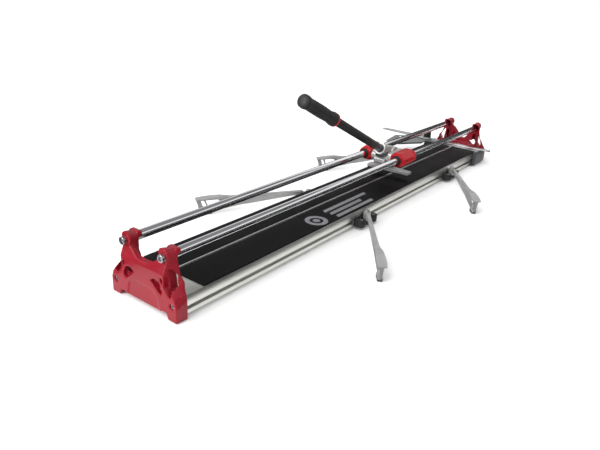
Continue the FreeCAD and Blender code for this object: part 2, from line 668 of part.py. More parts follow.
def handle_grip():
    s = TUBE_L
    r = GRIP_R
    e = s + GRIP_L
    bore_end = e - 25
    outline = [(s, TUBE_R), (s, r + GRIP_FLARE), (s + 6, r + GRIP_FLARE), (s + 20, r),
               (s + 60, r + 1), (s + 100, r + 0.5), (e - 26, r), (e - 14, r + GRIP_FLARE - 0.5),
               (e - 5, r + GRIP_FLARE - 1), (e - 1.5, r - 3), (e, r - 9), (e, 0), (bore_end, 0),
               (bore_end, TUBE_R)]
    return revolve_on_handle(outline)


# ---- breaker foot ----
def breaker_foot():
    p = BREAKER_PIN
    low = p.z - FOOT_DOWN + FOOT_PAD_T
    reach = FOOT_REACH
    end_top = p.z + FOOT_UP - 1.5
    outline = [(-reach, low), (reach, low), (reach, end_top - 1), (reach - 1, end_top),
               (12, p.z + FOOT_UP), (-12, p.z + FOOT_UP), (1 - reach, end_top),
               (-reach, end_top - 1)]
    body = prism_x(outline, p.x - FOOT_HALF, p.x + FOOT_HALF)
    lug_half = LUG_L / 2 + GAP
    room = cyl(p - V(lug_half, 0, 0), V(1, 0, 0), LUG_R + 0.6, 2 * lug_half)
    room = room.fuse(box(p.x - lug_half, p.x + lug_half, -LUG_R - 0.6, LUG_R + 0.6, p.z,
                         p.z + FOOT_UP + 1))
    body = body.cut(room)
    return body.cut(breaker_pin())


def breaker_pin():
    return cyl(BREAKER_PIN - V(FOOT_HALF, 0, 0), V(1, 0, 0), BREAKER_PIN_R, 2 * FOOT_HALF)


def breaker_pads():
    p = BREAKER_PIN
    shapes = []
    for side in (-1, 1):
        y0, y1 = sorted((side * 14, side * (FOOT_REACH - 1)))
        shapes.append(box(p.x - FOOT_HALF + 1, p.x + FOOT_HALF - 1, y0, y1, p.z - FOOT_DOWN,
                          p.z - FOOT_DOWN + FOOT_PAD_T))
    return group(shapes)


# ---- side arms ----
def arm_outline():
    """Side view of an arm: distance from the pivot, height."""
    top = ARM_TOP
    bump = ARM_TOP + ARM_BUMP
    tip = ARM_L
    return [(2, 30), (44, 29), (116, 23), (150, 19.5), (186, 17), (225, 11), (258, 6),
            (262, ARM_SOLE_H), (tip - 14, ARM_SOLE_H), (tip - 9, 8), (tip - 5, 26), (tip, 38),
            (tip, top), (tip - 42, bump), (tip - 62, bump), (tip - 90, top), (24, top),
            (12, ARM_HUB_TOP), (2, ARM_HUB_TOP)]


def arm_windows():
    tip = ARM_L
    return [[(tip - 13, 36), (tip - 17, 22), (tip - 24, 14), (tip - 27, 22), (tip - 20, 36)],
            [(tip - 25, 36), (tip - 32, 19), (tip - 52, 18), (tip - 68, 26), (tip - 55, 36)]]


def flange_outline():
    """Top view of the arm's upper flange: distance from the pivot, half width."""
    tip = ARM_L
    half = [(18, 5), (120, 4.5), (200, 5), (tip - 62, 9), (tip - 20, 11), (tip, 9)]
    return [(x, -y) for x, y in half] + half[::-1]


def arm_at_zero():
    """Arm along +X from a pivot on the Z axis."""
    web = prism_y(arm_outline(), -ARM_WEB / 2, ARM_WEB / 2)
    for window in arm_windows():
        web = web.cut(prism_y(window, -ARM_WEB, ARM_WEB))
    flange = prism_z(flange_outline(), ARM_TOP - ARM_FLANGE_T, ARM_TOP + ARM_BUMP)
    shape_room = prism_y([(0, ARM_TOP - ARM_FLANGE_T), (ARM_L, ARM_TOP - ARM_FLANGE_T),
                          (ARM_L, ARM_TOP), (ARM_L - 42, ARM_TOP + ARM_BUMP),
                          (ARM_L - 62, ARM_TOP + ARM_BUMP), (ARM_L - 90, ARM_TOP), (0, ARM_TOP)],
                         -20, 20)
    flange = flange.common(shape_room)
    foot = prism_y([(ARM_L - 40, ARM_SOLE_H), (ARM_L - 14, ARM_SOLE_H), (ARM_L - 10, 9),
                    (ARM_L - 40, 9)], -ARM_SOLE_W / 2, ARM_SOLE_W / 2)
    hub = cyl(V(0, 0, ARM_HUB_BOTTOM), V(0, 0, 1), ARM_HUB_R, ARM_HUB_TOP - ARM_HUB_BOTTOM)
    body = fuse([web, flange, foot, hub])
    return body.cut(cyl(V(0, 0, 0), V(0, 0, 1), ARM_PIN_R + RUN, 2 * ARM_TOP))


def arm_sole_at_zero():
    x1 = ARM_L - 15
    return box(x1 - ARM_SOLE_L, x1, -ARM_SOLE_W / 2, ARM_SOLE_W / 2, 0, ARM_SOLE_H)


def place_arm(shape, index):
    """Turn and move a piece made along +X to arm number index, at rest."""
    right = index % 2 == 0
    x = ARM_X[index]
    angle = 180 + ARM_REST[index] if right else 180 - ARM_REST[index]
    placed = shape.copy()
    placed.rotate(V(0, 0, 0), V(0, 0, 1), angle)
    placed.translate(V(x, -ARM_Y if right else ARM_Y, 0))
    return placed


def place_bracket(shape, index):
    """Move a piece made for the left side to bracket number index."""
    right = index % 2 == 0
    placed = mirror_y(shape) if right else shape.copy()
    placed.translate(V(ARM_X[index], 0, 0))
    return placed


def bracket_at_zero():
    """Bracket on the bed's left side, its pivot at X = 0."""
    half = LOBE_X + LOBE_R
    face = SIDE
    plate = box(-half, half, face, face + BRACKET_T, EAR_Z[0], LOBE_TOP)
    ear = box(-ARM_HUB_R - 2, ARM_HUB_R + 2, face, ARM_Y, EAR_Z[0], EAR_Z[1])
    ear_end = cyl(V(0, ARM_Y, EAR_Z[0]), V(0, 0, 1), ARM_HUB_R + 2, EAR_Z[1] - EAR_Z[0])
    parts = [plate, ear, ear_end]
    for side in (-1, 1):
        x = side * LOBE_X
        lobe_y = face + 2 + LOBE_R
        parts.append(cyl(V(x, lobe_y, EAR_Z[0]), V(0, 0, 1), LOBE_R, LOBE_TOP - EAR_Z[0]))
        parts.append(box(x - LOBE_R, x + LOBE_R, face, lobe_y, EAR_Z[0], LOBE_TOP))
    body = fuse(parts)
    body = body.cut(cyl(V(0, ARM_Y, 0), V(0, 0, 1), ARM_PIN_R, BED_TOP))
    return body.cut(bracket_screws_at_zero())


def bracket_screws_at_zero():
    shapes = []
    for side in (-1, 1):
        start = V(side * LOBE_X, SIDE - GROOVE_LIP - 3, GROOVE_Z)
        shank = cyl(start, V(0, 1, 0), 2.5, 16)
        head_part = cyl(start + V(0, 16, 0), V(0, 1, 0), 4.5, 8)
        shapes.append(shank.fuse(head_part))
    return shapes


def t_nuts_at_zero():
    shapes = []
    for side in (-1, 1):
        x = side * LOBE_X
        nut = box(x - 8, x + 8, SIDE - GROOVE_LIP - 4, SIDE - GROOVE_LIP, GROOVE_Z - GROOVE_W / 2 + 0.5,
                  GROOVE_Z + GROOVE_W / 2 - 0.5)
        shapes.append(nut.cut(bracket_screws_at_zero()))
    return shapes


def arm_pin_at_zero():
    low = V(0, ARM_Y, EAR_Z[0])
    pin = cyl(low, V(0, 0, 1), ARM_PIN_R, ARM_HUB_TOP + ARM_FLOAT - EAR_Z[0])
    head_part = cyl(V(0, ARM_Y, ARM_HUB_TOP + ARM_FLOAT), V(0, 0, 1), ARM_PIN_R + 2, ARM_PIN_HEAD_T)
    return pin.fuse(head_part)


def on_all_brackets(shapes):
    return group([place_bracket(s, i) for i in range(4) for s in shapes])


# ---- fence ----
def fence_rail():
    """Twin rail across the bed, with a groove along its top and a gap under it for the rib."""
    x0 = FENCE_X
    x1 = FENCE_X + FENCE_W
    y1 = SIDE + GAP + CLAMP_T
    y0 = -y1
    body = box(x0, x1, y0, y1, FENCE_BOTTOM, FENCE_TOP)
    tip = box(x1 - FENCE_W * 0.3, x1, -SIDE - FENCE_TIP, y0 + 1, FENCE_BOTTOM, FENCE_TOP)
    groove = box(x0 + FENCE_W * 0.35, x1 - FENCE_W * 0.35, y0 - 1, y1 + 1, FENCE_TOP - 1.5,
                 FENCE_TOP + 1)
    notch = box(x0 - 1, x1 + 1, -RIB_T / 2 - 1, RIB_T / 2 + 1, FENCE_BOTTOM - 1, RIB_TOP + GAP)
    body = body.fuse(tip).cut([groove, notch])
    return body.cut(fence_screws_list())


def fence_clamp(side):
    """Hook round one side of the bed, under the fence rail."""
    top = FENCE_BOTTOM
    outer = SIDE + GAP + CLAMP_T
    inner = SIDE + GAP
    outline = [(inner, top), (inner, BED_BOTTOM - 0.6), (inner - CLAMP_HOOK, BED_BOTTOM - 0.6),
               (inner - CLAMP_HOOK, CLAMP_FLOOR), (outer - 3, CLAMP_FLOOR), (outer, CLAMP_FLOOR + 3),
               (outer, top)]
    body = prism_x(outline, CLAMP_X, CLAMP_X + CLAMP_L)
    if side > 0:
        centre = V(MITRE_X, SIDE + MITRE_OUT, top - 9)
        boss = cyl(centre, V(0, 0, 1), MITRE_BOSS_R, 9)
        arm_to_boss = box(MITRE_X - MITRE_BOSS_R, MITRE_X + MITRE_BOSS_R, inner, centre.y, top - 9, top)
        body = fuse([body, boss, arm_to_boss])
        body = body.cut(mitre_stud())
        lock = V(CLAMP_X + CLAMP_L / 2, SIDE, LOCK_Z)
        body = body.cut(cyl(lock, V(0, 1, 0), LOCK_R + RUN, 30))
    body = body if side > 0 else mirror_y(body)
    return body.cut(fence_screws_list())


def fence_screws_list():
    shapes = []
    for side in (-1, 1):
        for x in (FENCE_X + 6, FENCE_X + FENCE_W - 6):
            at = V(x, side * (SIDE + GAP + CLAMP_T / 2), FENCE_TOP)
            shapes.append(cyl(at, V(0, 0, -1), 2.5, 16))
    return shapes


def mitre_stud():
    at = V(MITRE_X, SIDE + MITRE_OUT, FENCE_BOTTOM - 9)
    return cyl(at, V(0, 0, 1), STUD_R, 9 + FENCE_TOP - FENCE_BOTTOM + GAP + MITRE_T + 14)


def protractor_plate():
    """Fan-shaped plate under the mitre arm."""
    x = MITRE_X
    y = SIDE + MITRE_OUT
    near = SIDE + CLAMP_T + 1
    outline = [(x - 150, y + 43), (x - 136, y + 91), (x - 36, y + 106), (x + 4, y + 45),
               (x + 16, near + 10), (x + 16, near), (x - 31, near), (x - 71, near - 4)]
    body = prism_z(outline, FENCE_BOTTOM, FENCE_BOTTOM + PLATE_T)
    slot_edge = []
    turns = (112, 122, 132, 142, 152)
    for r, angles in ((PLATE_SLOT_R, turns), (PLATE_SLOT_R - 8, turns[::-1])):
        slot_edge += [(x + r * cos(radians(a)), y + r * sin(radians(a))) for a in angles]
    body = body.cut(prism_z(slot_edge, FENCE_BOTTOM - 1, FENCE_TOP + 5))
    return body.cut(mitre_stud())


def mitre_arm_length():
    """The mitre arm ends level with the tips of the right-hand side arms."""
    rest = radians(ARM_REST[0])
    reach = ARM_Y + ARM_L * sin(rest) + 9 * cos(rest)
    return reach - SIDE - MITRE_OUT


def mitre_arm():
    x = MITRE_X
    y = SIDE + MITRE_OUT
    end = y + mitre_arm_length()
    z0 = FENCE_TOP + GAP
    outline = [(x - 15, y), (x - 13, y + 40), (x - 6, end - 40), (x - 4, end), (x + 6, end),
               (x + 10, end - 40), (x + 13, y + 40), (x + 15, y)]
    bar = prism_z(outline, z0, z0 + MITRE_T)
    end_disc = cyl(V(x, y, z0), V(0, 0, 1), MITRE_BOSS_R, MITRE_T)
    body = bar.fuse(end_disc)
    return body.cut(cyl(V(x, y, 0), V(0, 0, 1), STUD_R + RUN, 2 * FENCE_TOP))


def lobed_knob(r, h, bore, bore_depth):
    """Six-lobed knob on +Z, standing on Z = 0."""
    body = cyl(V(0, 0, 0), V(0, 0, 1), r, h)
    for k in range(6):
        a = radians(60 * k)
        body = body.cut(cyl(V((r + 3) * cos(a), (r + 3) * sin(a), h * 0.35), V(0, 0, 1), 5, h))
    return body.cut(cyl(V(0, 0, -1), V(0, 0, 1), bore, bore_depth + 1))


def mitre_knob():
    z0 = FENCE_TOP + GAP + MITRE_T + GAP
    knob = lobed_knob(KNOB_R, 18, STUD_R + RUN, 17)
    knob.translate(V(MITRE_X, SIDE + MITRE_OUT, z0))
    return knob


def fence_lock_knob():
    """Knob with its screw, which presses on the bed's side through the left clamp."""
    face = SIDE + GAP + CLAMP_T
    knob = lobed_knob(KNOB_R - 1, 16, LOCK_R, 12)
    knob = knob.fuse(cyl(V(0, 0, 12), V(0, 0, -1), LOCK_R, CLAMP_T + 12 + GAP))
    knob.rotate(V(0, 0, 0), V(1, 0, 0), -90)
    knob.translate(V(CLAMP_X + CLAMP_L / 2, face + GAP, LOCK_Z))
    return knob


# ---- build ----
ARM_NAMES = ("front_right", "front_left", "rear_right", "rear_left")


def main():
    os.makedirs("parts", exist_ok=True)
    save("bed_profile", bed_profile())
    save("breaker_rib", breaker_rib())
    save("right_pad", pad(-1))
    save("left_pad", pad(1))
    save("front_support", end_support(FRONT_SADDLE))
    save("rear_support", mirror_x(end_support(REAR_SADDLE)))
    save("support_soles", support_soles())
    save("bar_bolts", bar_bolts())
    save("side_screws", side_screws())
    save("right_guide_bar", guide_bar(-1))
    save("left_guide_bar", guide_bar(1))
    save("right_slider", slider(-1))
    save("left_slider", slider(1))
    save("slider_bushes", slider_bushes())
    save("bar_wipers", bar_wipers())
    save("slider_set_screws", slider_set_screws())
    save("carriage_bridge", carriage_bridge())
    save("bridge_bolts", group(bridge_bolts(-1) + bridge_bolts(1)))
    save("handle_pivot_pin", handle_pivot_pin())
    save("handle_head", handle_head())
    save("handle_tube", handle_tube())
    save("handle_lock_screw", handle_lock_screw())
    save("grip_ring", grip_ring())
    save("handle_grip", handle_grip())
    save("wheel_holder", wheel_holder())
    save("holder_screw", holder_screw())
    save("wheel_axle", wheel_axle())
    save("scoring_wheel", scoring_wheel())
    save("breaker_foot", breaker_foot())
    save("breaker_pin", breaker_pin())
    save("breaker_pads", breaker_pads())
    bracket = bracket_at_zero()
    arm = arm_at_zero()
    for index, name in enumerate(ARM_NAMES):
        save(name + "_bracket", place_bracket(bracket, index))
        save(name + "_arm", place_arm(arm, index))
        save(name + "_arm_sole", place_arm(arm_sole_at_zero(), index))
    save("bracket_screws", on_all_brackets(bracket_screws_at_zero()))
    save("t_nuts", on_all_brackets(t_nuts_at_zero()))
    save("arm_pins", on_all_brackets([arm_pin_at_zero()]))
    save("fence_rail", fence_rail())
    save("right_fence_clamp", fence_clamp(-1))
    save("left_fence_clamp", fence_clamp(1))
    save("fence_screws", group(fence_screws_list()))
    save("mitre_stud", mitre_stud())
    save("protractor_plate", protractor_plate())
    save("mitre_arm", mitre_arm())
    save("mitre_knob", mitre_knob())
    save("fence_lock_knob", fence_lock_knob())


main()
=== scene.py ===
import json
import math

import bmesh
import bpy
from mathutils import Matrix, Vector


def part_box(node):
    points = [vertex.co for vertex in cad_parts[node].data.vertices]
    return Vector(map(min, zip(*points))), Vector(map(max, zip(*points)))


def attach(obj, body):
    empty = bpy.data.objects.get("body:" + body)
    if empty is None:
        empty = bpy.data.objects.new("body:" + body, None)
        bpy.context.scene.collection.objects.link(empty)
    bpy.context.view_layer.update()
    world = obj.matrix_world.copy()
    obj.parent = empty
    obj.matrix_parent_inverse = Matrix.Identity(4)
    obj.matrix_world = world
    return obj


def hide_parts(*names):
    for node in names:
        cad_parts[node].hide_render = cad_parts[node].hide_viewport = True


bl_info = {
    "name": "Tile cutter",
    "version": (1, 0, 0),
    "blender": (4, 5, 0),
    "location": "3D View > Sidebar > Tile cutter",
    "description": "Builds the visible pieces of a manual tile cutter round its CAD frame",
    "category": "Add Mesh",
}

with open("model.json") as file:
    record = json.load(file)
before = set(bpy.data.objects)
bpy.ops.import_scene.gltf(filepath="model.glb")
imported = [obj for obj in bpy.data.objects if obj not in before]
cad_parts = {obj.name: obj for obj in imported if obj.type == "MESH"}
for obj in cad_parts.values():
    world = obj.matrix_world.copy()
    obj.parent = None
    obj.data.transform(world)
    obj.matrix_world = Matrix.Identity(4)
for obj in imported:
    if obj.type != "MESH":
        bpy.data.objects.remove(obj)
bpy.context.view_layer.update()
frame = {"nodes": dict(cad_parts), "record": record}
MM = 0.001

SUPPORT_ROUNDS = 6
SLIDER_ROUNDS = 14
ARM_ROUNDS = 5
CAST_ROUNDS = 4
SLIDER_KEEP = 14.2 * MM
SLIDER_END = 0.5
BAR_CHAMFER = 0.8 * MM
CLAMP_GRID = 0.9 * MM
RING_X = -0.262
PRINT_Y = -0.053
RING_INNER = 0.016
RING_OUTER = 0.027
DOT_RADIUS = 0.009
STRIPE_START = -0.205
STRIPE_ENDS = (-0.02, -0.07, -0.045)
STRIPE_PITCH = 0.019
STRIPE_HALF = 0.0055
STRIPE_SLANT = 0.6
PLATE_EDGE = (0.592, 0.806)
PLATE_CORNER = 0.0565
PLATE_STRIP = 0.009
FLOOR_Z = -0.2 * MM
CARD_Z = -0.1 * MM
CARD_INNER = 0.135
CARD_OUTER = 5
CAMERA_PLACE = (-1.2521, -0.7289, 0.5467)


# ---- settings ----
class CutterSizes(bpy.types.PropertyGroup):
    casting_grid: bpy.props.FloatProperty(
        name="Casting grid", description="Mesh spacing of the sand-cast pieces",
        default=1.3 * MM, unit="LENGTH")
    fine_grid: bpy.props.FloatProperty(
        name="Fine grid", description="Mesh spacing of the die-cast pieces",
        default=0.8 * MM, unit="LENGTH")
    edge: bpy.props.FloatProperty(
        name="Machined edge", description="Width of the broken edge on machined pieces",
        default=0.5 * MM, unit="LENGTH")
    moulded_edge: bpy.props.FloatProperty(
        name="Moulded edge", description="Width of the rounding on moulded pieces",
        default=1.2 * MM, unit="LENGTH")


class CutterFinishes(bpy.types.PropertyGroup):
    paint_red: bpy.props.FloatVectorProperty(
        name="Support red", description="Paint of the end supports", subtype="COLOR", size=3,
        default=(0.225, 0.004, 0.013), min=0, max=1)
    slider_red: bpy.props.FloatVectorProperty(
        name="Slider red", description="Paint of the slider housings", subtype="COLOR", size=3,
        default=(0.36, 0.002, 0.006), min=0, max=1)
    extruded: bpy.props.FloatVectorProperty(
        name="Bed aluminium", description="Extruded aluminium of the bed", subtype="COLOR", size=3,
        default=(0.78, 0.78, 0.74), min=0, max=1)
    cast: bpy.props.FloatVectorProperty(
        name="Cast aluminium", description="Aluminium of the bridge and the handle head",
        subtype="COLOR", size=3, default=(0.60, 0.60, 0.59), min=0, max=1)
    arm_silver: bpy.props.FloatVectorProperty(
        name="Arm silver", description="Silver lacquer of the side arms", subtype="COLOR", size=3,
        default=(0.44, 0.44, 0.44), min=0, max=1)
    pad_black: bpy.props.FloatVectorProperty(
        name="Pad black", description="Rubber of the bed pads", subtype="COLOR", size=3,
        default=(0.0035, 0.0035, 0.004), min=0, max=1)
    print_grey: bpy.props.FloatVectorProperty(
        name="Print grey", description="Printed ring and stripes on a pad", subtype="COLOR",
        size=3, default=(0.20, 0.20, 0.215), min=0, max=1)


class CutterStudio(bpy.types.PropertyGroup):
    lens: bpy.props.FloatProperty(
        name="Lens", description="Focal length of the camera in millimetres", default=34.12)
    yaw: bpy.props.FloatProperty(
        name="Heading", description="Camera heading from +X towards +Y", subtype="ANGLE",
        default=math.radians(36.08))
    pitch: bpy.props.FloatProperty(
        name="Pitch", description="Camera tilt below the horizon", subtype="ANGLE",
        default=math.radians(23.14))
    roll: bpy.props.FloatProperty(
        name="Roll", description="Camera turn about its own axis", subtype="ANGLE",
        default=math.radians(3.32))
    sky: bpy.props.FloatProperty(
        name="Sky", description="Brightness of the studio's white surround", default=1.0)
    key: bpy.props.FloatProperty(
        name="Key light", description="Strength of the soft main light", default=1.6)


# ---- shader tools ----
class Num:
    """A number that changes over a surface; arithmetic with it adds Math nodes."""

    def __init__(self, finish, socket):
        self.finish = finish
        self.socket = socket

    def math(self, operation, *values):
        node = self.finish.add("ShaderNodeMath", {"operation": operation}, values)
        return Num(self.finish, node.outputs[0])

    def __add__(self, other):
        return self.math("ADD", self, other)

    __radd__ = __add__

    def __sub__(self, other):
        return self.math("SUBTRACT", self, other)

    def __mul__(self, other):
        return self.math("MULTIPLY", self, other)

    def __gt__(self, other):
        return self.math("GREATER_THAN", self, other)

    def __lt__(self, other):
        return self.math("LESS_THAN", self, other)

    def __abs__(self):
        return self.math("ABSOLUTE", self)

    def root(self):
        return self.math("SQRT", self)

    def between(self, low, high):
        return (self > low) * (self < high)


class Finish:
    """A material with one Principled shader, wired from object coordinates."""

    def __init__(self, name, **constants):
        self.material = bpy.data.materials.new(name)
        self.material.use_nodes = True
        self.tree = self.material.node_tree
        self.tree.nodes.clear()
        output = self.tree.nodes.new("ShaderNodeOutputMaterial")
        self.surface = self.tree.nodes.new("ShaderNodeBsdfPrincipled")
        self.tree.links.new(self.surface.outputs[0], output.inputs["Surface"])
        for socket, value in constants.items():
            self.surface.inputs[socket.replace("_", " ")].default_value = value
        self.place = self.add("ShaderNodeTexCoord").outputs["Object"]

    def add(self, kind, settings=None, values=()):
        """Adds a node: its settings first, then the values or links of its sockets."""
        node = self.tree.nodes.new(kind)
        for key, value in (settings or {}).items():
            setattr(node, key, value)
        pairs = values.items() if isinstance(values, dict) else enumerate(values)
        for key, value in pairs:
            self.feed(node.inputs[key], value)
        return node

    def feed(self, socket, value):
        if isinstance(value, Num):
            value = value.socket
        if isinstance(value, bpy.types.NodeSocket):
            self.tree.links.new(value, socket)
        else:
            socket.default_value = value

    def set(self, socket, value):
        self.feed(self.surface.inputs[socket], value)

    def stretched(self, scale):
        """Object coordinates stretched by a factor along each axis."""
        node = self.add("ShaderNodeMapping", {}, {"Vector": self.place, "Scale": scale})
        return node.outputs[0]

    def noise(self, scale, detail=3.0, where=None):
        node = self.add("ShaderNodeTexNoise", {}, {
            "Vector": where or self.place, "Scale": scale, "Detail": detail})
        return Num(self, node.outputs[0])

    def span(self, value, low, high, from_low=0.0, from_high=1.0):
        """Maps a changing number to a new span, clamped."""
        node = self.add("ShaderNodeMapRange", {"clamp": True}, {
            "Value": value, "From Min": from_low, "From Max": from_high,
            "To Min": low, "To Max": high})
        return Num(self, node.outputs[0])

    def blend(self, amount, first, second):
        """Colour between two colours."""
        node = self.add("ShaderNodeMix", {"data_type": "RGBA"}, {0: amount, 6: first, 7: second})
        return node.outputs[2]

    def bump(self, height, strength, distance):
        node = self.add("ShaderNodeBump", {}, {
            "Height": height, "Strength": strength, "Distance": distance})
        self.set("Normal", node.outputs[0])


def rgba(colour, factor=1.0):
    return tuple(min(1.0, c * factor) for c in colour) + (1.0,)


# ---- finishes ----
FINISHES = {}


def finish(name, make):
    """The named material, made once."""
    if name not in FINISHES:
        FINISHES[name] = make(name)
    return FINISHES[name]


def glossy_paint(colour, roughness=0.32, coat=0.08, depth=0.08):
    """Powder coat over a casting: fine orange peel, slight change of shade."""
    def make(name):
        f = Finish(name, Coat_Weight=coat, Coat_Roughness=0.12, Specular_IOR_Level=0.28)
        shade = f.noise(18.0, 2.0)
        f.set("Base Color", f.blend(f.span(shade, 0.0, 1.0, 0.3, 0.7), rgba(colour, 0.9),
                                    rgba(colour, 1.08)))
        f.set("Roughness", f.span(f.noise(60.0), roughness - 0.05, roughness + 0.07, 0.3, 0.7))
        peel = f.noise(420.0, 2.0)
        grain = f.noise(1500.0, 2.0)
        f.bump(peel + grain * 0.4, depth, 0.0004)
        return f.material
    return make


def brushed_metal(colour, roughness, stretch, depth=0.05):
    """Metal with fine lines along one axis."""
    def make(name):
        f = Finish(name, Metallic=1.0)
        lines = f.noise(1.0, 5.0, f.stretched(stretch))
        cloud = f.noise(9.0, 3.0)
        f.set("Base Color", f.blend(f.span(lines, 0.0, 1.0, 0.3, 0.7), rgba(colour, 0.9),
                                    rgba(colour, 1.05)))
        f.set("Roughness", f.span(lines * 0.6 + cloud * 0.4, roughness - 0.07, roughness + 0.1,
                                  0.3, 0.7))
        f.bump(lines, depth, 0.0004)
        return f.material
    return make


def chrome(colour, roughness):
    """Hard chrome with the faintest polishing marks."""
    def make(name):
        f = Finish(name, Metallic=1.0)
        marks = f.noise(1.0, 4.0, f.stretched((6.0, 500.0, 500.0)))
        f.set("Base Color", f.blend(f.noise(30.0), rgba(colour, 0.96), rgba(colour)))
        f.set("Roughness", f.span(marks, roughness * 0.7, roughness * 1.5, 0.3, 0.7))
        f.bump(marks, 0.02, 0.0002)
        return f.material
    return make


def cast_metal(colour, roughness, metallic=0.85):
    """Die-cast aluminium: fine pebbled skin, duller hollows."""
    def make(name):
        f = Finish(name, Metallic=metallic)
        cloud = f.noise(35.0, 4.0)
        skin = f.noise(900.0, 3.0)
        f.set("Base Color", f.blend(f.span(cloud, 0.0, 1.0, 0.35, 0.65), rgba(colour, 0.86),
                                    rgba(colour, 1.06)))
        f.set("Roughness", f.span(cloud + skin * 0.3, roughness - 0.06, roughness + 0.12, 0.4, 0.9))
        f.bump(skin + cloud * 0.5, 0.12, 0.0005)
        return f.material
    return make


def moulded(colour, roughness, grain=1400.0, depth=0.12):
    """Moulded plastic or rubber with a fine spark-eroded grain."""
    def make(name):
        f = Finish(name, Specular_IOR_Level=0.3)
        skin = f.noise(grain, 2.0)
        cloud = f.noise(45.0, 3.0)
        f.set("Base Color", f.blend(cloud, rgba(colour, 0.8), rgba(colour, 1.25)))
        f.set("Roughness", f.span(skin * 0.5 + cloud * 0.5, roughness - 0.08, roughness + 0.08,
                                  0.3, 0.7))
        f.bump(skin, depth, 0.0003)
        return f.material
    return make


def pad_rubber(colour, print_colour):
    """Rubber sheet of the bed, with a plain printed ring and stripes on the right-hand side."""
    def make(name):
        f = Finish(name, Specular_IOR_Level=0.13)
        parts = f.add("ShaderNodeSeparateXYZ", {}, (f.place,))
        x = Num(f, parts.outputs[0])
        y = Num(f, parts.outputs[1])
        z = Num(f, parts.outputs[2])
        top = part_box("right_pad")[1].z - 0.2 * MM
        aside = x - RING_X
        across = y - PRINT_Y
        from_ring = (aside * aside + across * across).root()
        disc = from_ring.between(RING_INNER, RING_OUTER) + (from_ring < DOT_RADIUS)
        stripes = 0.0
        for row, end in enumerate(STRIPE_ENDS):
            centre = PRINT_Y + STRIPE_PITCH - STRIPE_PITCH * row
            slant = (y - centre) * STRIPE_SLANT
            stripe = (x - slant).between(STRIPE_START, end) * (abs(y - centre) < STRIPE_HALF)
            stripes = stripes + stripe
        printed = (disc + stripes) * (z > top)
        worn = f.span(f.noise(260.0, 4.0), 0.75, 1.0, 0.35, 0.5)
        skin = f.noise(1600.0, 2.0)
        cloud = f.noise(14.0, 4.0)
        rubber = f.blend(cloud, rgba(colour, 0.8), rgba(colour, 1.3))
        f.set("Base Color", f.blend(printed * worn, rubber, rgba(print_colour)))
        f.set("Roughness", f.span(skin * 0.4 + cloud * 0.6, 0.46, 0.66, 0.3, 0.7))
        f.bump(skin, 0.15, 0.0003)
        return f.material
    return make


def plate_paint(colour, trim):
    """Satin grey plate with a dark strip along its front edge."""
    def make(name):
        f = Finish(name, Specular_IOR_Level=0.3)
        parts = f.add("ShaderNodeSeparateXYZ", {}, (f.place,))
        x = Num(f, parts.outputs[0])
        y = Num(f, parts.outputs[1])
        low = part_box("protractor_plate")[0]
        from_edge = (x - low.x) * PLATE_EDGE[0] + (y - (low.y + PLATE_CORNER)) * PLATE_EDGE[1]
        cloud = f.noise(40.0, 3.0)
        paint = f.blend(cloud, rgba(colour, 0.88), rgba(colour, 1.1))
        f.set("Base Color", f.blend(from_edge < PLATE_STRIP, paint, rgba(trim)))
        f.set("Roughness", f.span(cloud, 0.34, 0.5, 0.3, 0.7))
        f.bump(f.noise(600.0, 2.0), 0.05, 0.0003)
        return f.material
    return make


def black_rubber():
    return finish("black_rubber", moulded((0.016, 0.016, 0.016), 0.62))


def bright_zinc():
    return finish("bright_zinc", chrome((0.72, 0.72, 0.73), 0.24))


def ground_steel():
    return finish("ground_steel", brushed_metal((0.55, 0.55, 0.57), 0.25, (600.0, 600.0, 600.0)))


def cast_aluminium(looks):
    return finish("cast_aluminium", cast_metal(looks.cast, 0.42))


def silver_lacquer(looks):
    return finish("arm_silver", cast_metal(looks.arm_silver, 0.46, 0.6))


# ---- mesh tools ----
def cad_copy(node):
    """Merged copy of a CAD node, as a bmesh."""
    bm = bmesh.new()
    bm.from_mesh(frame["nodes"][node].data)
    bmesh.ops.remove_doubles(bm, verts=bm.verts, dist=0.004 * MM)
    return bm


def break_edges(bm, width, segments=2, sharp=math.radians(25)):
    """Joins flat faces and rounds the edges sharper than an angle."""
    bmesh.ops.dissolve_limit(bm, angle_limit=math.radians(1), use_dissolve_boundaries=False,
                             verts=bm.verts, edges=bm.edges)
    edges = [e for e in bm.edges if e.is_manifold and e.calc_face_angle(0) > sharp]
    bmesh.ops.bevel(bm, geom=edges, offset=width, offset_type="OFFSET", segments=segments,
                    profile=0.5, affect="EDGES", clamp_overlap=True, material=-1)


def soften(bm, grid, rounds):
    """Remeshes to an even grid and rounds every edge, as on a casting."""
    low = [min(v.co[axis] for v in bm.verts) for axis in range(3)]
    high = [max(v.co[axis] for v in bm.verts) for axis in range(3)]
    mesh = bpy.data.meshes.new("draft")
    bm.to_mesh(mesh)
    draft = bpy.data.objects.new("draft", mesh)
    bpy.context.scene.collection.objects.link(draft)
    remesh = draft.modifiers.new("grid", "REMESH")
    remesh.mode = "VOXEL"
    remesh.voxel_size = grid
    bpy.context.view_layer.update()
    seen = draft.evaluated_get(bpy.context.evaluated_depsgraph_get())
    even = bpy.data.meshes.new_from_object(seen)
    bpy.data.objects.remove(draft)
    bm.clear()
    bm.from_mesh(even)
    bpy.data.meshes.remove(even)
    for _ in range(rounds):
        bmesh.ops.smooth_vert(bm, verts=bm.verts, factor=0.5, use_axis_x=True, use_axis_y=True,
                              use_axis_z=True)
    stay_inside(bm, low, high)


def stay_inside(bm, low, high):
    """Pulls back any point that the remeshing put outside the piece's own box."""
    for vert in bm.verts:
        vert.co = [min(max(c, a), b) for c, a, b in zip(vert.co, low, high)]


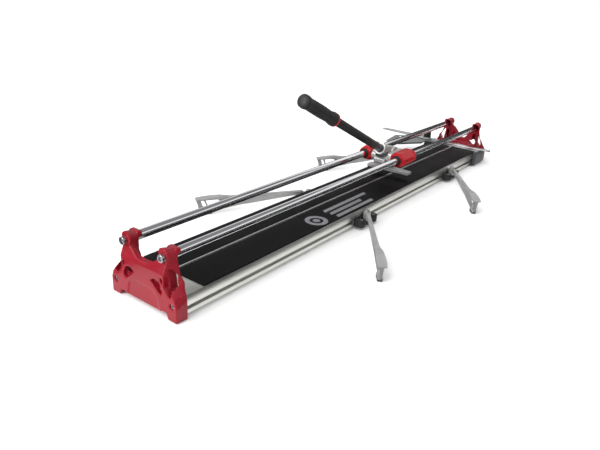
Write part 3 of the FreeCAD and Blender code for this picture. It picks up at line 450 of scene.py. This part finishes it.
def round_ends(bm, bar, side, keep, amount):
    """Draws a slider's ends in towards its bar, leaving the bore and the inner side alone."""
    xs = [v.co.x for v in bm.verts]
    middle = (min(xs) + max(xs)) / 2
    half = (max(xs) - min(xs)) / 2
    for vert in bm.verts:
        y = vert.co.y - bar.y
        z = vert.co.z - bar.z
        r = math.hypot(y, z)
        if r > keep:
            along = abs(vert.co.x - middle) / half
            scale = (keep + (r - keep) * (1 - amount * along ** 4)) / r
            vert.co.z = bar.z + z * scale
            if y * side > 0:
                vert.co.y = bar.y + y * scale


def piece(bm, name, body, slot, material, nodes, sharp=math.radians(35)):
    """Turns a bmesh into a shown piece that stands for its CAD nodes."""
    for face in bm.faces:
        face.smooth = True
    for edge in bm.edges:
        edge.smooth = not (edge.is_manifold and edge.calc_face_angle(0) > sharp)
    mesh = bpy.data.meshes.new(name)
    bm.to_mesh(mesh)
    bm.free()
    mesh.materials.append(material)
    made = bpy.data.objects.new(name, mesh)
    bpy.context.scene.collection.objects.link(made)
    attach(made, body)
    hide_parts(*nodes)


def body_of(node):
    bodies = frame["record"]["behaviour"]["bodies"]
    return next(body for body, nodes in bodies.items() if node in nodes)


def slot_of(node):
    return next(s["material_slot"] for s in frame["record"]["subparts"] if s["node"] == node)


def cast_piece(node, grid, rounds, material):
    bm = cad_copy(node)
    soften(bm, grid, rounds)
    piece(bm, node + "_skin", body_of(node), slot_of(node), material, [node], math.pi)


def machined_piece(node, width, material, segments=2):
    bm = cad_copy(node)
    break_edges(bm, width, segments)
    piece(bm, node + "_body", body_of(node), slot_of(node), material, [node])


# ---- operators ----
class AddSupports(bpy.types.Operator):
    """Two red cast end supports"""

    bl_idname = "cutter.add_supports"
    bl_label = "End supports"

    def execute(self, context):
        sizes = context.scene.cutter_sizes
        red = finish("support_paint", glossy_paint(context.scene.cutter_finishes.paint_red))
        for node in ("front_support", "rear_support"):
            cast_piece(node, sizes.casting_grid, SUPPORT_ROUNDS, red)
        return {"FINISHED"}


class AddBed(bpy.types.Operator):
    """Extruded bed, breaker rib and the two pads"""

    bl_idname = "cutter.add_bed"
    bl_label = "Bed"

    def execute(self, context):
        sizes = context.scene.cutter_sizes
        looks = context.scene.cutter_finishes
        bed = finish("bed_aluminium", brushed_metal(looks.extruded, 0.34, (5.0, 700.0, 700.0)))
        rib = finish("rib_steel", brushed_metal((0.75, 0.75, 0.75), 0.42, (8.0, 900.0, 900.0)))
        pad = finish("pad_rubber", pad_rubber(looks.pad_black, looks.print_grey))
        machined_piece("bed_profile", sizes.edge, bed)
        machined_piece("breaker_rib", 0.2 * MM, rib)
        for node in ("right_pad", "left_pad"):
            machined_piece(node, 0.4 * MM, pad)
        return {"FINISHED"}


class AddBars(bpy.types.Operator):
    """Two chromed guide bars"""

    bl_idname = "cutter.add_bars"
    bl_label = "Guide bars"

    def execute(self, context):
        steel = finish("bar_chrome", chrome((0.82, 0.82, 0.84), 0.10))
        for node in ("right_guide_bar", "left_guide_bar"):
            low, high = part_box(node)
            radius = (high.y - low.y) / 2
            middle = (low + high) / 2
            bm = bmesh.new()
            bmesh.ops.create_cone(bm, cap_ends=True, segments=72, radius1=radius, radius2=radius,
                                  depth=high.x - low.x)
            ends = [e for e in bm.edges if e.calc_face_angle(0) > 1.0]
            bmesh.ops.bevel(bm, geom=ends, offset=BAR_CHAMFER, offset_type="OFFSET", segments=2,
                            profile=0.5, affect="EDGES", clamp_overlap=True, material=-1)
            turn = Matrix.Translation(middle) @ Matrix.Rotation(math.pi / 2, 4, "Y")
            bmesh.ops.transform(bm, matrix=turn, verts=bm.verts)
            piece(bm, node + "_body", "base", slot_of(node), steel, [node])
        return {"FINISHED"}


class AddCarriage(bpy.types.Operator):
    """Slider housings, bridge, wipers, bushes and their screws"""

    bl_idname = "cutter.add_carriage"
    bl_label = "Carriage"

    def execute(self, context):
        sizes = context.scene.cutter_sizes
        looks = context.scene.cutter_finishes
        red = finish("slider_paint", glossy_paint(looks.slider_red, 0.30, 0.12, 0.03))
        cast = cast_aluminium(looks)
        rubber = black_rubber()
        bush = finish("bush_plastic", moulded((0.04, 0.04, 0.045), 0.4))
        bright = bright_zinc()
        ground = ground_steel()
        for where, side in (("right", -1), ("left", 1)):
            node = where + "_slider"
            low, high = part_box(where + "_guide_bar")
            bm = cad_copy(node)
            soften(bm, sizes.fine_grid, SLIDER_ROUNDS)
            round_ends(bm, (low + high) / 2, side, SLIDER_KEEP, SLIDER_END)
            piece(bm, node + "_skin", "carriage", slot_of(node), red, [node], math.pi)
        cast_piece("carriage_bridge", sizes.fine_grid, CAST_ROUNDS, cast)
        machined_piece("bar_wipers", 0.3 * MM, rubber)
        machined_piece("slider_bushes", 0.2 * MM, bush)
        for node in ("slider_set_screws", "bridge_bolts"):
            machined_piece(node, 0.2 * MM, bright)
        machined_piece("handle_pivot_pin", 0.4 * MM, ground)
        return {"FINISHED"}


class AddHandle(bpy.types.Operator):
    """Handle head, tube, grip, wheel holder and breaker foot"""

    bl_idname = "cutter.add_handle"
    bl_label = "Handle"

    def execute(self, context):
        sizes = context.scene.cutter_sizes
        looks = context.scene.cutter_finishes
        cast = cast_aluminium(looks)
        tube = finish("tube_paint", moulded((0.020, 0.020, 0.021), 0.36, 500.0, 0.05))
        grip = finish("grip_rubber", moulded((0.022, 0.022, 0.023), 0.42, 1100.0, 0.2))
        ring = finish("ring_plastic", glossy_paint((0.45, 0.02, 0.03), 0.3, 0.3))
        bright = bright_zinc()
        ground = ground_steel()
        carbide = finish("wheel_carbide",
                         brushed_metal((0.30, 0.30, 0.32), 0.2, (300.0, 300.0, 300.0)))
        rubber = black_rubber()
        cast_piece("handle_head", sizes.fine_grid, CAST_ROUNDS, cast)
        cast_piece("breaker_foot", sizes.fine_grid, CAST_ROUNDS, cast)
        machined_piece("handle_tube", 0.3 * MM, tube)
        machined_piece("grip_ring", 0.5 * MM, ring)
        machined_piece("handle_grip", 0.4 * MM, grip)
        for node in ("wheel_holder", "wheel_axle", "breaker_pin"):
            machined_piece(node, 0.2 * MM, ground)
        machined_piece("scoring_wheel", 0.05 * MM, carbide)
        for node in ("handle_lock_screw", "holder_screw"):
            machined_piece(node, 0.3 * MM, bright)
        machined_piece("breaker_pads", 0.5 * MM, rubber)
        return {"FINISHED"}


class AddArms(bpy.types.Operator):
    """Four cast side arms with their brackets, pins and rubber feet"""

    bl_idname = "cutter.add_arms"
    bl_label = "Side arms"

    def execute(self, context):
        sizes = context.scene.cutter_sizes
        looks = context.scene.cutter_finishes
        cast = silver_lacquer(looks)
        black = finish("bracket_plastic", moulded((0.018, 0.018, 0.02), 0.45))
        rubber = black_rubber()
        bright = bright_zinc()
        for where in ("front_right", "front_left", "rear_right", "rear_left"):
            cast_piece(where + "_arm", sizes.fine_grid, ARM_ROUNDS, cast)
            cast_piece(where + "_bracket", sizes.fine_grid, CAST_ROUNDS, black)
            machined_piece(where + "_arm_sole", 0.6 * MM, rubber)
        for node in ("bracket_screws", "t_nuts", "arm_pins"):
            machined_piece(node, 0.4 * MM, bright)
        return {"FINISHED"}


class AddFence(bpy.types.Operator):
    """Fence rail, clamps, plate, mitre arm and knobs"""

    bl_idname = "cutter.add_fence"
    bl_label = "Fence"

    def execute(self, context):
        sizes = context.scene.cutter_sizes
        looks = context.scene.cutter_finishes
        rail = finish("rail_aluminium", brushed_metal((0.66, 0.67, 0.68), 0.3, (600.0, 6.0, 600.0)))
        grey = finish("clamp_paint", moulded((0.052, 0.053, 0.058), 0.42, 700.0))
        dark = finish("clamp_black", moulded((0.012, 0.012, 0.013), 0.42, 700.0))
        plate = finish("plate_paint", plate_paint((0.15, 0.16, 0.155), (0.012, 0.012, 0.013)))
        cast = silver_lacquer(looks)
        black = finish("knob_plastic", moulded((0.014, 0.014, 0.016), 0.35))
        bright = bright_zinc()
        machined_piece("fence_rail", 0.3 * MM, rail)
        for node, paint in (("right_fence_clamp", grey), ("left_fence_clamp", dark)):
            cast_piece(node, CLAMP_GRID, CAST_ROUNDS, paint)
        machined_piece("protractor_plate", 0.4 * MM, plate)
        machined_piece("mitre_arm", sizes.moulded_edge, cast, 3)
        for node in ("mitre_knob", "fence_lock_knob"):
            machined_piece(node, 1.0 * MM, black, 3)
        for node in ("fence_screws", "mitre_stud"):
            machined_piece(node, 0.3 * MM, bright)
        return {"FINISHED"}


class AddFasteners(bpy.types.Operator):
    """Bar bolts, side screws and rubber soles of the supports"""

    bl_idname = "cutter.add_fasteners"
    bl_label = "Fasteners"

    def execute(self, context):
        bright = finish("bolt_zinc", chrome((0.48, 0.48, 0.50), 0.26))
        rubber = black_rubber()
        for node in ("bar_bolts", "side_screws"):
            machined_piece(node, 0.3 * MM, bright)
        machined_piece("support_soles", 0.6 * MM, rubber)
        return {"FINISHED"}


class AddStage(bpy.types.Operator):
    """Pale floor, white surround, soft lights and the camera"""

    bl_idname = "cutter.add_stage"
    bl_label = "Studio"

    def execute(self, context):
        studio = context.scene.cutter_studio
        add_floor()
        add_cards()
        add_world(studio.sky)
        add_lights(studio.key)
        add_camera(context.scene, studio)
        return {"FINISHED"}


def add_floor():
    bm = bmesh.new()
    bmesh.ops.create_grid(bm, x_segments=1, y_segments=1, size=30.0)
    bmesh.ops.translate(bm, vec=Vector((0, 0, FLOOR_Z)), verts=bm.verts)
    mesh = bpy.data.meshes.new("floor")
    bm.to_mesh(mesh)
    bm.free()
    f = Finish("floor_white", Specular_IOR_Level=0.1)
    f.set("Base Color", (0.92, 0.92, 0.92, 1.0))
    f.set("Roughness", 0.9)
    mesh.materials.append(f.material)
    floor = bpy.data.objects.new("floor", mesh)
    bpy.context.scene.collection.objects.link(floor)


def add_world(strength):
    world = bpy.data.worlds.new("white_studio")
    bpy.context.scene.world = world
    world.use_nodes = True
    tree = world.node_tree
    background = tree.nodes["Background"]
    background.inputs["Strength"].default_value = strength
    place = tree.nodes.new("ShaderNodeTexCoord")
    parts = tree.nodes.new("ShaderNodeSeparateXYZ")
    ramp = tree.nodes.new("ShaderNodeValToRGB")
    tree.links.new(place.outputs["Generated"], parts.inputs[0])
    tree.links.new(parts.outputs[2], ramp.inputs[0])
    white = (1.0, 1.0, 1.0, 1.0)
    stops = ramp.color_ramp.elements
    stops[0].position = 0.0
    stops[0].color = (0.07, 0.07, 0.075, 1.0)
    stops[1].position = 1.0
    stops[1].color = (0.25, 0.25, 0.26, 1.0)
    for position, grey in ((0.28, 0.07), (0.40, 0.85), (0.46, 1.0), (0.62, 1.0), (0.72, 0.25)):
        stop = stops.new(position)
        stop.color = (grey, grey, grey, 1.0)
    seen = tree.nodes.new("ShaderNodeLightPath")
    choose = tree.nodes.new("ShaderNodeMix")
    choose.data_type = "RGBA"
    tree.links.new(seen.outputs["Is Glossy Ray"], choose.inputs[0])
    choose.inputs[6].default_value = white
    tree.links.new(ramp.outputs[0], choose.inputs[7])
    tree.links.new(choose.outputs[2], background.inputs["Color"])


def add_cards():
    """Dark cards just above the floor beside the tool, seen only in its glossy surfaces."""
    f = Finish("card_black", Specular_IOR_Level=0.0)
    f.set("Base Color", (0.02, 0.02, 0.021, 1.0))
    f.set("Roughness", 1.0)
    for side in (-1, 1):
        bm = bmesh.new()
        outline = ((-CARD_OUTER, CARD_INNER), (CARD_OUTER, CARD_INNER),
                   (CARD_OUTER, CARD_OUTER), (-CARD_OUTER, CARD_OUTER))
        corners = [(x, side * y, CARD_Z) for x, y in outline]
        bm.faces.new([bm.verts.new(corner) for corner in corners[::side]])
        mesh = bpy.data.meshes.new("card")
        bm.to_mesh(mesh)
        bm.free()
        mesh.materials.append(f.material)
        card = bpy.data.objects.new("card", mesh)
        for ray in ("camera", "diffuse", "transmission", "volume_scatter", "shadow"):
            setattr(card, "visible_" + ray, False)
        bpy.context.scene.collection.objects.link(card)


def area_light(name, place, target, size, energy):
    light = bpy.data.lights.new(name, "AREA")
    light.shape = "RECTANGLE"
    light.size, light.size_y = size
    light.energy = energy
    lamp = bpy.data.objects.new(name, light)
    lamp.location = place
    lamp.rotation_euler = (Vector(target) - Vector(place)).to_track_quat("-Z", "Y").to_euler()
    bpy.context.scene.collection.objects.link(lamp)


def add_lights(key):
    sun = bpy.data.lights.new("soft_sun", "SUN")
    sun.energy = key
    sun.angle = math.radians(50)
    lamp = bpy.data.objects.new("soft_sun", sun)
    lamp.rotation_euler = Vector((0.75, -0.25, -0.9)).to_track_quat("-Z", "Y").to_euler()
    bpy.context.scene.collection.objects.link(lamp)
    area_light("front_box", (-3.0, 0.4, 1.1), (-0.7, 0.0, 0.1), (1.6, 1.2), 40.0)


def add_camera(scene, studio):
    lens = bpy.data.cameras.new("camera")
    lens.lens = studio.lens
    lens.sensor_width = 36.0
    lens.clip_start = 0.05
    lens.clip_end = 200.0
    camera = bpy.data.objects.new("camera", lens)
    turn = (Matrix.Rotation(studio.yaw - math.pi / 2, 4, "Z")
            @ Matrix.Rotation(math.pi / 2 - studio.pitch, 4, "X")
            @ Matrix.Rotation(studio.roll, 4, "Z"))
    camera.matrix_world = Matrix.Translation(CAMERA_PLACE) @ turn
    scene.collection.objects.link(camera)
    scene.camera = camera
    scene.view_settings.view_transform = "Standard"


class CutterPanel(bpy.types.Panel):
    """Lists the pieces of the tile cutter"""

    bl_idname = "CUTTER_PT_pieces"
    bl_label = "Tile cutter"
    bl_space_type = "VIEW_3D"
    bl_region_type = "UI"
    bl_category = "Tile cutter"

    def draw(self, context):
        for settings in ("cutter_sizes", "cutter_finishes", "cutter_studio"):
            group = getattr(context.scene, settings)
            for key in group.__annotations__:
                self.layout.prop(group, key)
        for operator in OPERATORS:
            self.layout.operator(operator.bl_idname)


OPERATORS = (AddSupports, AddBed, AddBars, AddCarriage, AddHandle, AddArms, AddFence,
             AddFasteners, AddStage)
GROUPS = (("cutter_sizes", CutterSizes), ("cutter_finishes", CutterFinishes),
          ("cutter_studio", CutterStudio))


def register():
    for name, group in GROUPS:
        bpy.utils.register_class(group)
        setattr(bpy.types.Scene, name, bpy.props.PointerProperty(type=group))
    for cls in OPERATORS + (CutterPanel,):
        bpy.utils.register_class(cls)


def unregister():
    for cls in reversed(OPERATORS + (CutterPanel,)):
        bpy.utils.unregister_class(cls)
    for name, group in GROUPS:
        delattr(bpy.types.Scene, name)
        bpy.utils.unregister_class(group)


def main():
    register()
    for operator in OPERATORS:
        group, call = operator.bl_idname.split(".")
        getattr(getattr(bpy.ops, group), call)()


if __name__ == "__main__":
    main()
